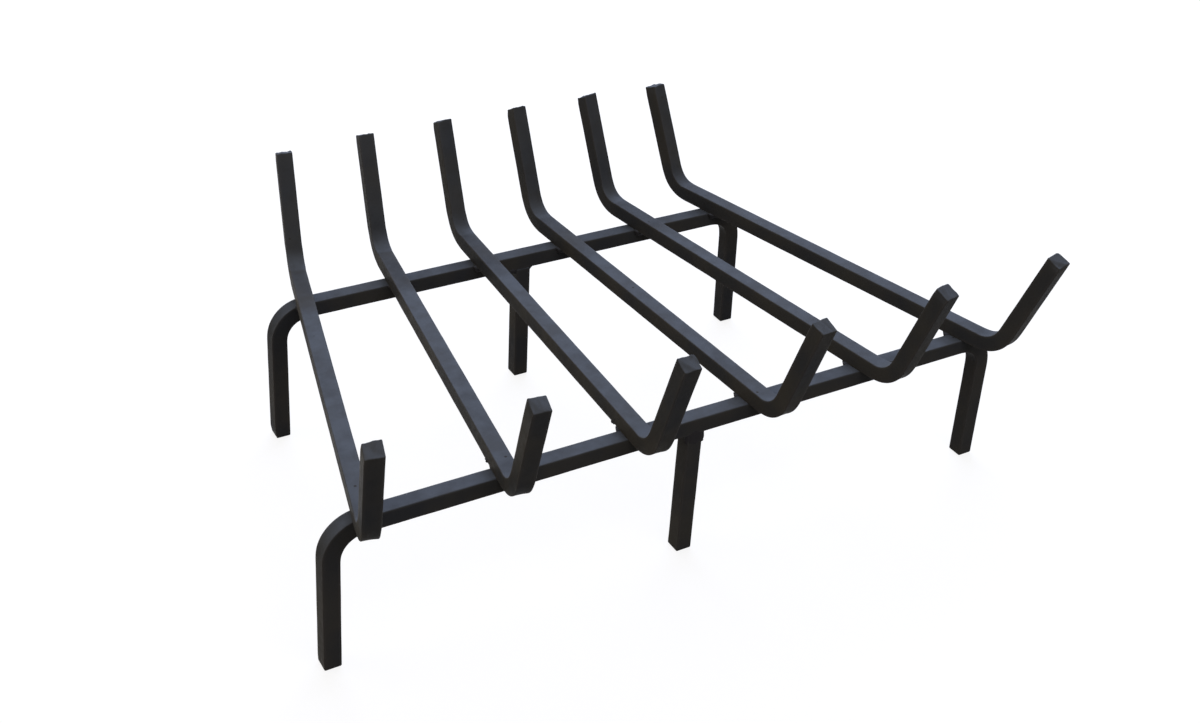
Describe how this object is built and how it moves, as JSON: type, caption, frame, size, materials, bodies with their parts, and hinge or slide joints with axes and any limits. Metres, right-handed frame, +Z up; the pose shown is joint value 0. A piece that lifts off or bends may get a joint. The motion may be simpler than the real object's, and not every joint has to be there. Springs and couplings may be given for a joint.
{
  "type": "log grate",
  "caption": "Free-standing fireplace log grate: square bars with upturned ends fan out across two bent cross bars that turn down into legs, all welded and painted satin black.",
  "frame": {"origin": "on the floor, midway between the foremost and the rearmost arm tips and midway between the left and right legs", "axes": "+X across the hearth to the right, -Y to the wide front that faces the room, +Z up"},
  "size_m": [0.5728, 0.4266, 0.2189],
  "materials": {
    "bar_paint": "satin black high-temperature paint over hot-rolled square steel bar",
    "weld_paint": "the same satin black paint over rough weld metal"
  },
  "bodies": {
    "root": {"log_bar_1": "bar_paint", "log_bar_2": "bar_paint", "log_bar_3": "bar_paint", "log_bar_4": "bar_paint", "log_bar_5": "bar_paint", "log_bar_6": "bar_paint", "front_cross_bar": "bar_paint", "rear_cross_bar": "bar_paint", "front_mid_leg": "bar_paint", "rear_mid_leg": "bar_paint", "front_bar_welds": "weld_paint", "rear_bar_welds": "weld_paint", "leg_welds": "weld_paint"}
  },
  "joints": []
}
